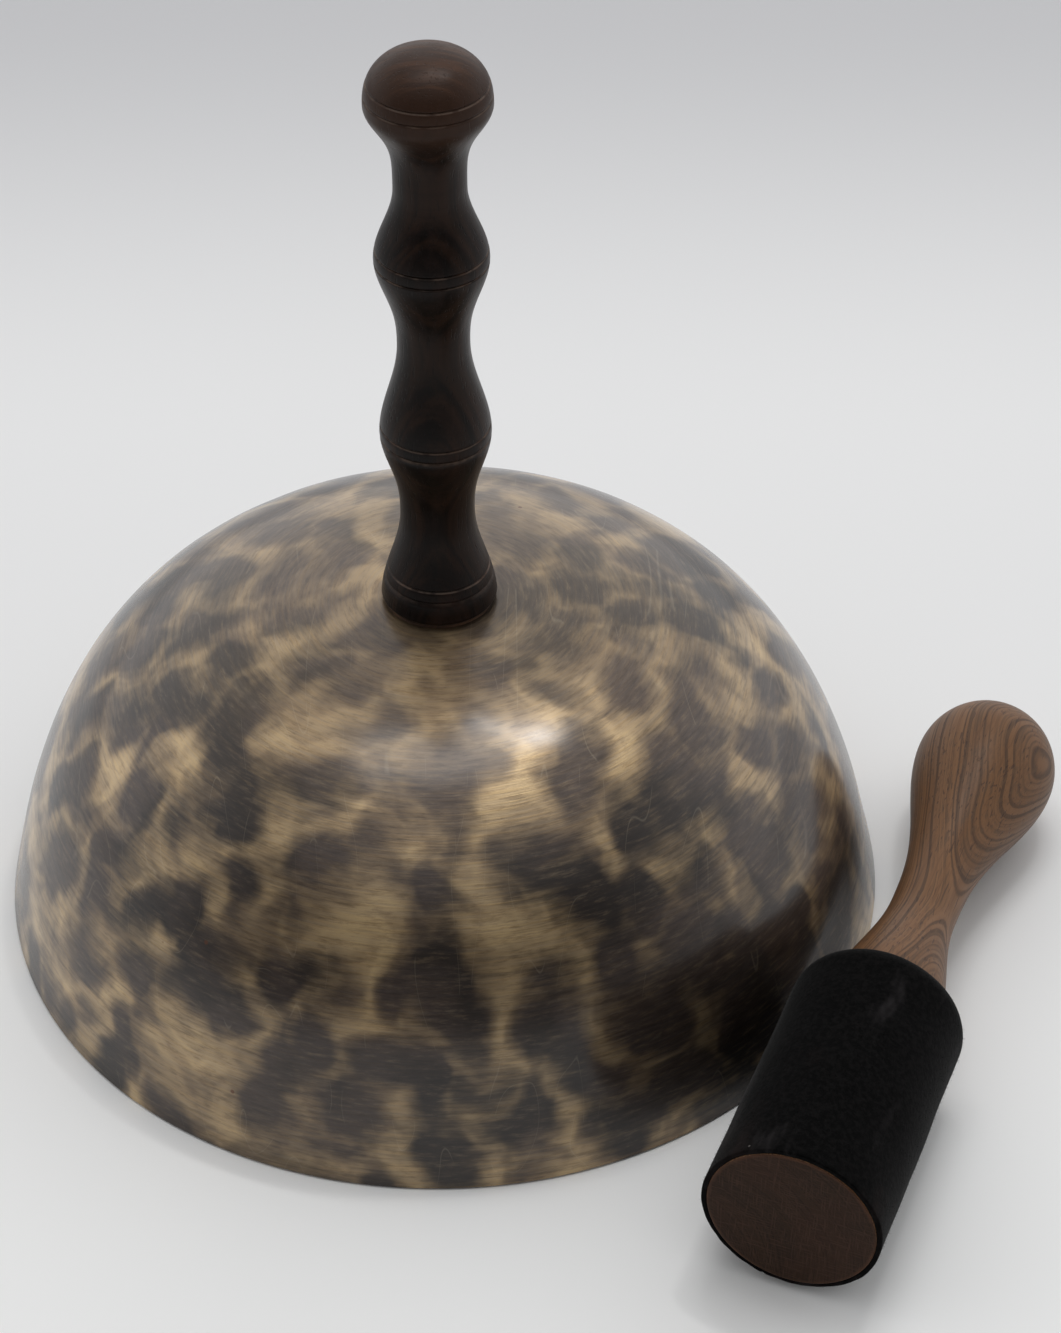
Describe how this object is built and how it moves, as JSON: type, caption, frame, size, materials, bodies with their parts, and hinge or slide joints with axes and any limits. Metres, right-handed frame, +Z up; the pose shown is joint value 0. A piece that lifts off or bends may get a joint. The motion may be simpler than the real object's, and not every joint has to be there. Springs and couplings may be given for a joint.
{
  "type": "tibetan bell",
  "caption": "Inverted hammered bronze bowl bell with a turned wooden handle bolted through its crown, and a suede-covered wooden mallet lying beside it.",
  "frame": {"origin": "centre of the bell's mouth, in the plane of its rim, which is the surface it stands on", "axes": "+Z up along the bell's axis and handle; the mallet lies at +X, -Y, its striking face towards -Y"},
  "size_m": [0.3027, 0.2907, 0.266],
  "materials": {
    "bronze": "hammered and brushed, with soft dark patina patches",
    "dark_wood": "satin",
    "red_wood": "satin, strong grain",
    "hide": "matte",
    "suede": "napped, matte",
    "steel": "zinc plated"
  },
  "bodies": {
    "bell": {"bowl": "bronze", "handle": "dark_wood", "foot_pad": "hide", "inner_pad": "hide", "steel_washer": "steel", "lock_washer": "steel", "hex_nut": "steel", "stud": "steel"},
    "mallet": {"mallet_core": "red_wood", "mallet_sleeve": "suede"}
  },
  "joints": [
    {"name": "mallet_lift", "type": "slide", "parent": "bell", "child": "mallet", "axis": [0, 0, 1], "range_m": [0, 0.3]}
  ]
}
